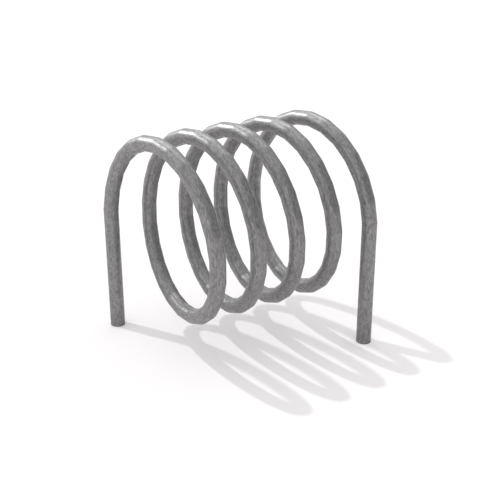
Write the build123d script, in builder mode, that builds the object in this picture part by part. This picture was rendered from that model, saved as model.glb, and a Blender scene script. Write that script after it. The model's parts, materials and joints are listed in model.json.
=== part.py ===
"""Coil bike rack: steel pipe rolled into standing loops between two legs set in the ground.

The loops are rolled singly and butt-welded end to end under the coil, each weld run on a
sleeve inside the pipe. The ground is at z = 0 and the coil's axis runs along x.
"""

import math
import os

from build123d import *

# Driving dimensions, in millimetres and degrees
pipe_diameter = 60.3
pipe_wall = 3.9
coil_diameter = 746.0  # over the outside of the pipe
rack_height = 890.0  # from the ground to the top of the coil
loop_pitch = 172.0  # from one loop to the next
loop_count = 4  # loops that come down between the legs
leg_burial = 254.0  # length of each leg below the ground
anchor_hole_diameter = 14.0  # for a reinforcing bar through the leg
anchor_hole_rise = 60.0  # from the leg's lower end to the hole's centre
sleeve_length = 24.0
sleeve_wall = 3.0
sleeve_clearance = 0.3  # between the sleeve's ends and the bend
weld_root_gap = 3.0  # between the pipe ends, at the sleeve
weld_bevel = 30.0  # of each pipe end, from square
weld_crown = 0.8  # height of the weld over the pipe

# Worked out from the driving dimensions
pipe_radius = pipe_diameter / 2
bore_radius = pipe_radius - pipe_wall
coil_radius = coil_diameter / 2 - pipe_radius
axis_height = rack_height - coil_diameter / 2
quarter_count = 4 * loop_count + 2  # quarter turns from leg to leg
coil_start = -loop_pitch * quarter_count / 8
coil_advance = loop_pitch / (2 * math.pi)  # along the coil's axis, for each radian of a turn
leg_kink = math.atan(coil_advance / coil_radius)  # between the coil's end and an upright leg
end_slant = pipe_radius * math.tan(leg_kink)  # rise of the coil's square end over a level cut
sleeve_sag = (sleeve_length / 2) ** 2 / (2 * coil_radius)  # bend over half a straight sleeve
sleeve_lean = sleeve_length / 2 * math.tan(leg_kink)  # kink over half a straight sleeve
sleeve_radius = bore_radius - sleeve_clearance - math.hypot(sleeve_sag, sleeve_lean)
weld_top_radius = pipe_radius + weld_crown


def station(quarter):
    """Point and direction of the coil's centre line, counted in quarter turns from the left leg."""
    angle = math.radians(90 * quarter)
    point = Vector(
        coil_start + loop_pitch * quarter / 4,
        coil_radius * math.cos(angle),
        axis_height + coil_radius * math.sin(angle),
    )
    direction = Vector(coil_advance, -coil_radius * math.sin(angle), coil_radius * math.cos(angle))
    return point, direction.normalized()


def arc_meeting(quarter):
    """Point where the two arcs of a quarter turn meet, each tangent to the coil at its own end."""
    start, start_way = station(quarter)
    end, end_way = station(quarter + 1)
    chord = end - start
    spread = 2 * (1 - start_way.dot(end_way))
    along = chord.dot(start_way + end_way)
    reach = (math.sqrt(along**2 + spread * chord.dot(chord)) - along) / spread
    return (start + end + (start_way - end_way) * reach) / 2


def weld_axis(quarter):
    """Centre line of a joint. At a leg it is the leg's, as the coil's end is cut level there."""
    point, direction = station(quarter)
    if quarter in (0, quarter_count):
        direction = Vector(0, 0, math.copysign(1, direction.Z))
    return Axis(point, direction)


def weld_plane(quarter):
    """Plane of a joint's half section: x along its centre line, y out from it."""
    axis = weld_axis(quarter)
    return Plane(axis.position, x_dir=axis.direction, z_dir=axis.direction.cross(Vector(1, 0, 0)))


def groove_edge(radius):
    """Point on the bevel of a pipe end, at a distance out from the centre line."""
    return (weld_root_gap / 2 + (radius - sleeve_radius) * math.tan(math.radians(weld_bevel)), radius)


def make_groove(quarter):
    """Space between two bevelled pipe ends, from the sleeve to past the pipe's surface."""
    with BuildPart() as groove:
        with BuildSketch(weld_plane(quarter)):
            with BuildLine():
                Polyline(
                    (0, sleeve_radius),
                    groove_edge(sleeve_radius),
                    groove_edge(weld_top_radius),
                    (0, weld_top_radius),
                )
                mirror(about=Plane.YZ)
            make_face()
        revolve(axis=weld_axis(quarter))
    return groove.part


def make_weld(quarter):
    """Ring of weld metal that fills a groove and stands a little over the pipe."""
    with BuildPart() as weld:
        with BuildSketch(weld_plane(quarter)):
            with BuildLine():
                Polyline(
                    (0, sleeve_radius),
                    groove_edge(sleeve_radius),
                    groove_edge(pipe_radius),
                )
                TangentArc((0, weld_top_radius), groove_edge(pipe_radius), tangent=(1, 0))
                mirror(about=Plane.YZ)
            make_face()
        revolve(axis=weld_axis(quarter))
    return weld.part


def make_sleeve(quarter):
    """Short straight tube inside a joint, which the weld's root runs on."""
    axis = weld_axis(quarter)
    with BuildPart() as sleeve:
        with BuildSketch(Plane(axis.position, z_dir=axis.direction)):
            Circle(sleeve_radius)
            Circle(sleeve_radius - sleeve_wall, mode=Mode.SUBTRACT)
        extrude(amount=sleeve_length / 2, both=True)
    return sleeve.part


def make_bend(first, last):
    """Length of rolled pipe between two joints, its ends bevelled for welding."""
    with BuildPart() as bend:
        with BuildLine() as centre_line:
            for quarter in range(first, last):
                near_end, near_way = station(quarter)
                far_end = station(quarter + 1)[0]
                near_arc = TangentArc(near_end, arc_meeting(quarter), tangent=near_way)
                TangentArc(near_arc @ 1, far_end, tangent=near_arc % 1)
        start, start_way = station(first)
        with BuildSketch(Plane(start, z_dir=start_way)):
            Circle(pipe_radius)
            Circle(bore_radius, mode=Mode.SUBTRACT)
        sweep(path=centre_line.line)
        for quarter, outward in ((first, -1), (last, 1)):
            groove = make_groove(quarter)
            past_groove = weld_axis(quarter).direction * (outward * end_slant)
            add(groove, mode=Mode.SUBTRACT)
            add(groove.moved(Location(past_groove)), mode=Mode.SUBTRACT)  # rest of a slanting end
    return bend.part


def make_leg(quarter):
    """Straight pipe from the coil down into the ground, drilled across for an anchor bar."""
    top = station(quarter)[0]
    foot = Vector(top.X, top.Y, -leg_burial)
    with BuildPart() as leg:
        with BuildSketch(Plane(foot)):
            Circle(pipe_radius)
            Circle(bore_radius, mode=Mode.SUBTRACT)
        extrude(amount=axis_height + leg_burial)
        with BuildSketch(Plane(foot + Vector(0, 0, anchor_hole_rise), z_dir=(1, 0, 0))):
            Circle(anchor_hole_diameter / 2)
        extrude(amount=pipe_diameter, both=True, mode=Mode.SUBTRACT)
        add(make_groove(quarter), mode=Mode.SUBTRACT)
    return leg.part


def save(part, name):
    """Writes one labelled piece."""
    part.label = name
    export_step(part, f"parts/{name}.step")
    print(name, round(part.volume), "mm3, valid:", part.is_valid)


os.makedirs("parts", exist_ok=True)

splices = [4 * loop + 3 for loop in range(loop_count)]  # under each loop
joints = [0, *splices, quarter_count]
joint_names = ["left_leg", *(f"splice_{n + 1}" for n in range(loop_count)), "right_leg"]
bend_names = ["left_arch", *(f"loop_{n + 1}" for n in range(loop_count - 1)), "right_arch"]

for joint, name in zip(joints, joint_names):
    save(make_weld(joint), f"{name}_weld")
    save(make_sleeve(joint), f"{name}_sleeve")

for first, last, name in zip(joints, joints[1:], bend_names):
    save(make_bend(first, last), name)

save(make_leg(0), "left_leg")
save(make_leg(quarter_count), "right_leg")
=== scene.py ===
"""Coil bike rack in hot-dip galvanised pipe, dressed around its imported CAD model.

The pipe is bent in short steps, so each turn of the coil is a ring of flats with soft bends
between them. Sizes are in metres, and places along the coil are corners counted from the left leg.
"""

import json
import math
from collections import namedtuple

import bpy
import numpy as np
from mathutils import Euler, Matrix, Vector


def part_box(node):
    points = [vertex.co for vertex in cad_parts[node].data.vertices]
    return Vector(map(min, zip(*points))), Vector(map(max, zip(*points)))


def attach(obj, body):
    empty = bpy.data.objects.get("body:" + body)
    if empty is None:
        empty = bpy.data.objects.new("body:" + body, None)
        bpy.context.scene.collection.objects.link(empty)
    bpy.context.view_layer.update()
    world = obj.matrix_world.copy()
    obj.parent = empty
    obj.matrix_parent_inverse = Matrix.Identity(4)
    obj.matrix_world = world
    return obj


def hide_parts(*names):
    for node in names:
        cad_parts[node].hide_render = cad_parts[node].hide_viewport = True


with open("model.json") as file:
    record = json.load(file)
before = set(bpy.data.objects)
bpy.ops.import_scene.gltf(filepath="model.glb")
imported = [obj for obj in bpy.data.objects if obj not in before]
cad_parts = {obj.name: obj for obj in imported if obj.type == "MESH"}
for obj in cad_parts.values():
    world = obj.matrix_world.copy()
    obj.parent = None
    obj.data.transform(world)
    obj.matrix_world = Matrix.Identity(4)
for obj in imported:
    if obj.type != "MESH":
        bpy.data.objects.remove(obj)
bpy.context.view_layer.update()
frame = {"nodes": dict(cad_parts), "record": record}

# Sizes read from the frame
mounts = {mount["name"]: mount for mount in frame["record"]["mounts"]}
pipe_radius = mounts["left_leg_end"]["dims"]["r_mm"] / 1000
hole_radius = mounts["left_anchor_hole"]["dims"]["r_mm"] / 1000
coil_start, coil_radius = mounts["left_leg_end"]["pos_m"][:2]
foot_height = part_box("left_leg")[0].z
weld_low, weld_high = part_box("left_leg_weld")
axis_height = (weld_low.z + weld_high.z) / 2
weld_crown = (weld_high.y - weld_low.y) / 2 - pipe_radius
sleeve_low, sleeve_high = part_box("left_leg_sleeve")
sleeve_radius = (sleeve_high.y - sleeve_low.y) / 2
splice_count = sum(name.startswith("splice_") and name.endswith("_weld") for name in frame["nodes"])
turn_count = splice_count + 0.5  # a loop hangs at each splice, and the legs stand on opposite sides
loop_pitch = -2 * coil_start / turn_count

# Sizes that the frame doesn't hold
pipe_wall = 0.0039
bore_radius = pipe_radius - pipe_wall
sleeve_length = 0.024
sleeve_wall = 0.003
weld_root = 0.0015  # half a weld's width, at the sleeve
weld_bevel = 30  # of each pipe end, in degrees from square
first_splice = 0.75  # in turns from the left leg, which is under the coil
drill_length = 4 * pipe_radius  # twice the leg's width, so that the hole goes through both walls

# The bends of the coil, and how finely the pipe is divided
bends_per_turn = 24
bend_share = 0.2  # of each step, and the rest is flat
bend_spans = 4
ring_points = 64
foot_chamfer = 0.0008
sharp_angle = 30  # in degrees, above which an edge isn't shaded smooth

# Ripples of a weld
ripple_count = 52
ripple_depth = 0.45  # share of the weld's crown
ripple_curl = 2.2  # how far the middle of a ripple leads its ends, in radians
points_per_ripple = 6
bead_spans = 8

# Weathered zinc: its colours in 8-bit sRGB, and the scale of its texture in marks to the metre
zinc_dark = (98, 98, 98)
zinc_light = (160, 159, 160)
zinc_metallic = 0.7
patch_scale = 30
patch_detail = 4
streak_scale = 300
streak_detail = 3
grain_scale = 260
grain_detail = 2
noise_roughness = 0.6
crystal_scale = 220
drawn_scale = 0.28  # of the streaks and crystals along the pipe, to their scale across it
streak_share = 0.85  # of the tone, over the patches
crystal_share = 0.22
grain_share = 0.15
tone_low, tone_high = 0.275, 0.725  # noise at which the colours are all dark and all light
roughness_dark, roughness_light = 0.50, 0.34
weld_dullness = 0.06  # roughness that a weld has over the pipe
darkening_height = 0.12  # height above the ground over which the colour darkens
darkened_share = 0.88  # share of the colour that is left at the ground
bump_strength = 0.15
bump_height = 0.0005

# Camera, fitted to the photograph
camera_place = (-1.8436, -2.9239, 1.8219)
camera_azimuth = -33.028
camera_elevation = 22.778
camera_lens = 67.28

# Light, with the sun's direction found from the shadow in the photograph
lamps = [  # name, azimuth, elevation, strength, angle, lights matt surfaces, lights glossy ones
    ("sun", 119.1, 60.8, 0.8, 1.5, True, False),
    ("back_light", 111, 28, 1.8, 17, False, True),
    ("top_light", 70, 50, 0.8, 36, False, True),
]
ambient_colour = (1, 0.965, 0.985, 1)
ambient_strength = 0.85
floor_colour = (0.95, 0.95, 0.95, 1)
floor_glow = 0.1  # which brings the floor up to the background's white
floor_size = 80.0

# Grey card on the photographer's side, which darkens what the pipe mirrors there
card_azimuth = -56
card_elevation = 24
card_distance = 4.0
card_size = (11.0, 4.6)
card_level = 0.42

Station = namedtuple("Station", "point way out along")  # a place on the pipe's centre line


def lerp(a, b, share):
    return a + (b - a) * share


def unit(vector):
    return vector / np.linalg.norm(vector)


# Corners of the coil, each so far outside its soft bend that the bend's middle lies on the coil
step_length = math.hypot(2 * math.pi * coil_radius, loop_pitch) / bends_per_turn
corner_count = round(turn_count * bends_per_turn)
corner_radius = coil_radius + bend_share * step_length * math.sin(math.pi / bends_per_turn) / 4


def corner(number):
    """Corner between two flats, counted from the left leg. Those past the ends lie down the legs."""
    inside = min(max(number, 0), corner_count)
    turn = inside / bends_per_turn
    angle = 2 * math.pi * turn
    return np.array(
        [
            coil_start + loop_pitch * turn,
            corner_radius * math.cos(angle),
            axis_height + corner_radius * math.sin(angle) - step_length * abs(number - inside),
        ]
    )


def coil_station(number, share):
    """Place on the soft bend at a corner, from 0 at the bend's start to 1 at its end."""
    before, here, after = (corner(number + step) for step in (-1, 0, 1))
    start = lerp(here, before, bend_share / 2)
    end = lerp(here, after, bend_share / 2)
    point = lerp(lerp(start, here, share), lerp(here, end, share), share)
    way = unit(lerp(here - before, after - here, share))
    out = np.array([0, point[1], point[2] - axis_height])
    along = (number + bend_share * (share - 0.5)) * step_length
    return Station(point, way, out, along)


def moved(station, distance):
    """The place that lies further along the pipe."""
    return station._replace(
        point=station.point + station.way * distance,
        along=station.along + distance,
    )


def soft_bend(number):
    """Places along the soft bend at a corner."""
    return [coil_station(number, span / bend_spans) for span in range(bend_spans + 1)]


def bend_line(first, last, trim):
    """Places along the pipe between two welds, held back by the trim at both ends."""
    line = [moved(coil_station(first, 0.5), trim), coil_station(first, 1)]
    for number in range(first + 1, last):
        line += soft_bend(number)
    return [*line, coil_station(last, 0), moved(coil_station(last, 0.5), -trim)]


def sleeve_line(number):
    """Places along the sleeve in a joint, which is bent as the pipe is."""
    bend = soft_bend(number)
    flat = (sleeve_length - bend_share * step_length) / 2
    return [moved(bend[0], -flat), *bend, moved(bend[-1], flat)]


def leg_line(number, trim, foot_trim):
    """Places along a leg: its foot, square to the leg, and its top, square to the weld."""
    joint = coil_station(number, 0.5)
    foot_point = np.array([*joint.point[:2], foot_height + foot_trim])
    foot = joint._replace(point=foot_point, way=np.array([0.0, 0.0, 1.0]))
    top = joint._replace(way=joint.way * np.sign(joint.way[2]))
    return [foot, moved(top, -trim)]


def ring(station, radius, count=ring_points):
    """Points round the pipe, and the same points on the pipe laid out straight."""
    out = unit(station.out - station.way * (station.out @ station.way))
    across = np.cross(station.way, out)
    angles = np.arange(count) * (2 * math.pi / count)
    circle = np.column_stack([np.cos(angles), np.sin(angles)]) * np.reshape(radius, (-1, 1))
    places = station.point + circle @ np.array([out, across])
    return places, np.column_stack([circle, np.full(count, station.along)])


def lay_out(mesh, straight):
    """Keeps each point's place on the straight pipe, which the texture follows."""
    laid_out = mesh.attributes.get("straight") or mesh.attributes.new("straight", "FLOAT_VECTOR", "POINT")
    laid_out.data.foreach_set("vector", straight.ravel().astype(np.float32))


def closed_mesh(name, rings):
    """Mesh of rings joined one to the next, and the last to the first."""
    places, straight = (np.array(part) for part in zip(*rings))
    ring_total, count = places.shape[:2]
    here = np.arange(ring_total * count).reshape(ring_total, count)
    beside = np.roll(here, -1, axis=1)
    corners = [here, beside, np.roll(beside, -1, axis=0), np.roll(here, -1, axis=0)]
    faces = np.stack(corners, axis=-1).reshape(-1, 4)
    mesh = bpy.data.meshes.new(name)
    mesh.from_pydata(places.reshape(-1, 3).tolist(), [], faces.tolist())
    lay_out(mesh, straight)
    mesh.shade_smooth()
    mesh.set_sharp_from_angle(angle=math.radians(sharp_angle))
    return mesh


def add_piece(name, rings, node, material):
    """Shows a mesh of rings in place of a CAD node."""
    mesh = closed_mesh(name, rings)
    piece = bpy.data.objects.new(name, mesh)
    bpy.context.scene.collection.objects.link(piece)
    mesh.materials.append(material)
    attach(piece, "root")
    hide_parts(node)
    return piece


def groove_edge(radius):
    """Half a weld's width, at a distance out from the pipe's centre line."""
    return weld_root + (radius - sleeve_radius) * math.tan(math.radians(weld_bevel))


def bend_rings(first, last):
    """Hollow pipe between two welds, with bevelled ends."""
    outside = [ring(station, pipe_radius) for station in bend_line(first, last, groove_edge(pipe_radius))]
    inside = [ring(station, bore_radius) for station in bend_line(first, last, groove_edge(bore_radius))]
    return outside + inside[::-1]


def sleeve_rings(number):
    """Short tube inside a joint."""
    outside = [ring(station, sleeve_radius) for station in sleeve_line(number)]
    inside = [ring(station, sleeve_radius - sleeve_wall) for station in sleeve_line(number)]
    return outside + inside[::-1]


def leg_rings(number):
    """Hollow leg with a bevelled top and a broken edge at the foot."""
    foot, top = leg_line(number, groove_edge(pipe_radius), foot_chamfer)
    inner_foot, inner_top = leg_line(number, groove_edge(bore_radius), 0)
    return [
        ring(inner_foot, pipe_radius - foot_chamfer),
        ring(foot, pipe_radius),
        ring(top, pipe_radius),
        ring(inner_top, bore_radius),
        ring(inner_foot, bore_radius),
    ]


def weld_rings(number):
    """Weld bead with curved ripples across it."""
    joint = coil_station(number, 0.5)
    count = ripple_count * points_per_ripple
    angles = np.arange(count) * (2 * math.pi / count)
    rings = []
    for share in np.linspace(-1, 1, bead_spans + 1):
        ripple = 0.5 + 0.5 * np.cos(ripple_count * angles + ripple_curl * share**2)
        rise = weld_crown * (1 - share**2) * (1 - ripple_depth * ripple)
        rings.append(ring(moved(joint, share * groove_edge(pipe_radius)), pipe_radius + rise, count))
    for edge in (weld_root, -weld_root):
        rings.append(ring(moved(joint, edge), sleeve_radius, count))
    return rings


def drill(piece, centre):
    """Cuts the anchor hole through a leg, along x."""
    bpy.ops.mesh.primitive_cylinder_add(
        vertices=ring_points,
        radius=hole_radius,
        depth=drill_length,
        location=centre,
        rotation=(0, math.pi / 2, 0),
    )
    cutter = bpy.context.object
    cut = piece.modifiers.new("anchor_hole", "BOOLEAN")
    cut.object = cutter
    bpy.context.view_layer.objects.active = piece
    bpy.ops.object.modifier_apply(modifier=cut.name)
    bpy.data.objects.remove(cutter)
    # A leg is straight, so its points lie where the texture has them
    lay_out(piece.data, np.array([vertex.co for vertex in piece.data.vertices]))


def linear(colour):
    """Shader colour of an 8-bit sRGB one."""
    return (*(((level / 255 + 0.055) / 1.055) ** 2.4 for level in colour), 1)


def add_node(tree, kind, inputs=None, **settings):
    """Shader node with its settings, and its inputs set or linked."""
    node = tree.nodes.new(f"ShaderNode{kind}")
    for key, value in settings.items():
        setattr(node, key, value)
    for key, value in (inputs or {}).items():
        if isinstance(value, bpy.types.NodeSocket):
            tree.links.new(value, node.inputs[key])
        else:
            node.inputs[key].default_value = value
    return node


def noise(tree, space, scale, detail):
    """Noise texture's level."""
    inputs = {"Vector": space, "Scale": scale, "Detail": detail, "Roughness": noise_roughness}
    return add_node(tree, "TexNoise", inputs).outputs["Fac"]


def mix(tree, share, first, second):
    """Level between two others, by the second one's share."""
    return add_node(tree, "Mix", {"Factor": share, "A": first, "B": second}).outputs["Result"]


# The base colour is darkened smoothly towards the ground, the same on every leg and loop.
def darker_near_ground(tree, place, colour):
    """Colour that darkens a little towards the ground."""
    height = add_node(tree, "SeparateXYZ", {"Vector": place}).outputs["Z"]
    inputs = {"Value": height, "From Min": 0, "From Max": darkening_height, "To Min": darkened_share, "To Max": 1}
    level = add_node(tree, "MapRange", inputs, interpolation_type="SMOOTHSTEP").outputs["Result"]
    return add_node(tree, "VectorMath", {0: colour, "Scale": level}, operation="SCALE").outputs["Vector"]


def galvanised(name, dullness):
    """Dull zinc: patches and grain, with crystals and streaks drawn along the pipe."""
    material = bpy.data.materials.new(name)
    material.use_nodes = True
    tree = material.node_tree
    surface = tree.nodes["Principled BSDF"]
    place = add_node(tree, "TexCoord").outputs["Object"]
    straight = add_node(tree, "Attribute", attribute_name="straight").outputs["Vector"]
    drawn = add_node(tree, "Mapping", {"Vector": straight, "Scale": (1, 1, drawn_scale)}).outputs["Vector"]
    patches = noise(tree, straight, patch_scale, patch_detail)
    streaks = noise(tree, drawn, streak_scale, streak_detail)
    grain = noise(tree, straight, grain_scale, grain_detail)
    crystals = add_node(tree, "TexVoronoi", {"Vector": drawn, "Scale": crystal_scale})
    crystal_tone = add_node(tree, "SeparateColor", {"Color": crystals.outputs["Color"]}).outputs["Red"]
    drawn_tone = mix(tree, streak_share, patches, streaks)
    mottled = mix(tree, crystal_share, drawn_tone, crystal_tone)
    tone = mix(tree, grain_share, mottled, grain)
    ramp = add_node(tree, "ValToRGB", {"Fac": tone})
    ends = ((tone_low, zinc_dark), (tone_high, zinc_light))
    for element, (position, colour) in zip(ramp.color_ramp.elements, ends):
        element.position = position
        element.color = linear(colour)
    tree.links.new(darker_near_ground(tree, place, ramp.outputs["Color"]), surface.inputs["Base Color"])
    sheen = add_node(
        tree,
        "MapRange",
        {
            "Value": tone,
            "From Min": tone_low,
            "From Max": tone_high,
            "To Min": roughness_dark + dullness,
            "To Max": roughness_light + dullness,
        },
    )
    tree.links.new(sheen.outputs["Result"], surface.inputs["Roughness"])
    bump = add_node(tree, "Bump", {"Height": tone, "Strength": bump_strength, "Distance": bump_height})
    tree.links.new(bump.outputs["Normal"], surface.inputs["Normal"])
    surface.inputs["Metallic"].default_value = zinc_metallic
    return material


def seen_directly(tree):
    """1 for the camera and for what mirrors or lets through the background, 0 for light on the object."""
    path = add_node(tree, "LightPath").outputs
    kinds = [path["Is Camera Ray"], path["Is Glossy Ray"], path["Is Transmission Ray"]]
    either = add_node(tree, "Math", {0: kinds[0], 1: kinds[1]}, operation="MAXIMUM").outputs[0]
    return add_node(tree, "Math", {0: either, 1: kinds[2]}, operation="MAXIMUM").outputs[0]


def pale_floor(tree):
    """Shader of a floor that keeps the shadow and runs into the white background."""
    lit = add_node(tree, "BsdfDiffuse", {"Color": floor_colour}).outputs[0]
    glow = add_node(tree, "Emission", {"Strength": floor_glow}).outputs[0]
    lifted = add_node(tree, "AddShader", {0: lit, 1: glow}).outputs[0]
    return add_node(tree, "MixShader", {0: seen_directly(tree), 1: lit, 2: lifted}).outputs[0]


def grey_card(tree):
    """Shader of an even grey."""
    return add_node(tree, "Emission", {"Strength": card_level}).outputs[0]


def set_stage(name, size, shade):
    """Flat piece of the stage, with a shader made by a function."""
    bpy.ops.mesh.primitive_plane_add(size=1)
    piece = bpy.context.object
    piece.name = name
    piece.scale = (*size, 1)
    material = bpy.data.materials.new(name)
    material.use_nodes = True
    tree = material.node_tree
    tree.nodes.remove(tree.nodes["Principled BSDF"])
    tree.links.new(shade(tree), tree.nodes["Material Output"].inputs["Surface"])
    piece.data.materials.append(material)
    return piece


def turned_to(azimuth, elevation):
    """Rotation of an object whose z axis points out from the rack, at an azimuth from +x."""
    return Euler((math.radians(90 - elevation), 0, math.radians(azimuth + 90)))


def make_card():
    """Card that only gloss sees."""
    card = set_stage("card", card_size, grey_card)
    card.rotation_euler = turned_to(card_azimuth, card_elevation)
    card.location = card.rotation_euler.to_matrix() @ Vector((0, 0, card_distance))
    card.location.z += axis_height
    card.visible_camera = False
    card.visible_diffuse = False
    card.visible_shadow = False


def make_world():
    """White background, with a plain level of light from all round."""
    world = bpy.data.worlds.new("white")
    world.use_nodes = True
    tree = world.node_tree
    tree.nodes.remove(tree.nodes["Background"])
    white = (1, 1, 1, 1)
    ambient = add_node(tree, "Background", {"Color": ambient_colour, "Strength": ambient_strength}).outputs[0]
    backdrop = add_node(tree, "Background", {"Color": white, "Strength": 1}).outputs[0]
    shown = add_node(tree, "MixShader", {0: seen_directly(tree), 1: ambient, 2: backdrop}).outputs[0]
    tree.links.new(shown, tree.nodes["World Output"].inputs["Surface"])
    bpy.context.scene.world = world


def make_lamp(name, azimuth, elevation, strength, angle, on_matt, on_gloss):
    """Lamp far away, which may light only matt or only glossy surfaces."""
    light = bpy.data.lights.new(name, "SUN")
    light.energy = strength
    light.angle = math.radians(angle)
    lamp = bpy.data.objects.new(name, light)
    lamp.rotation_euler = turned_to(azimuth, elevation)
    lamp.visible_diffuse = on_matt
    lamp.visible_glossy = on_gloss
    bpy.context.scene.collection.objects.link(lamp)


def make_camera():
    """Camera at the photograph's viewpoint."""
    azimuth = math.radians(camera_azimuth)
    elevation = math.radians(camera_elevation)
    lens = bpy.data.cameras.new("camera")
    lens.lens = camera_lens
    camera = bpy.data.objects.new("camera", lens)
    camera.location = camera_place
    camera.rotation_euler = (math.pi / 2 - elevation, 0, azimuth)
    bpy.context.scene.collection.objects.link(camera)
    bpy.context.scene.camera = camera


pipe_finish = galvanised("galvanised_pipe", 0)
weld_finish = galvanised("galvanised_weld", weld_dullness)

# Corners that are joints, and the names of what lies at them and between them
joints = [0, *(round((n + first_splice) * bends_per_turn) for n in range(splice_count)), corner_count]
joint_names = ["left_leg", *(f"splice_{n + 1}" for n in range(splice_count)), "right_leg"]
bend_names = ["left_arch", *(f"loop_{n + 1}" for n in range(splice_count - 1)), "right_arch"]

for number, side in ((0, "left"), (corner_count, "right")):
    leg = add_piece(f"{side}_leg_pipe", leg_rings(number), f"{side}_leg", pipe_finish)
    drill(leg, mounts[f"{side}_anchor_hole"]["pos_m"])

for first, last, node in zip(joints, joints[1:], bend_names):
    add_piece(f"{node}_pipe", bend_rings(first, last), node, pipe_finish)

for number, name in zip(joints, joint_names):
    add_piece(f"{name}_bead", weld_rings(number), f"{name}_weld", weld_finish)
    add_piece(f"{name}_tube", sleeve_rings(number), f"{name}_sleeve", pipe_finish)

set_stage("floor", (floor_size, floor_size), pale_floor)
make_card()
make_world()
for lamp in lamps:
    make_lamp(*lamp)
make_camera()
bpy.context.scene.view_settings.view_transform = "Standard"
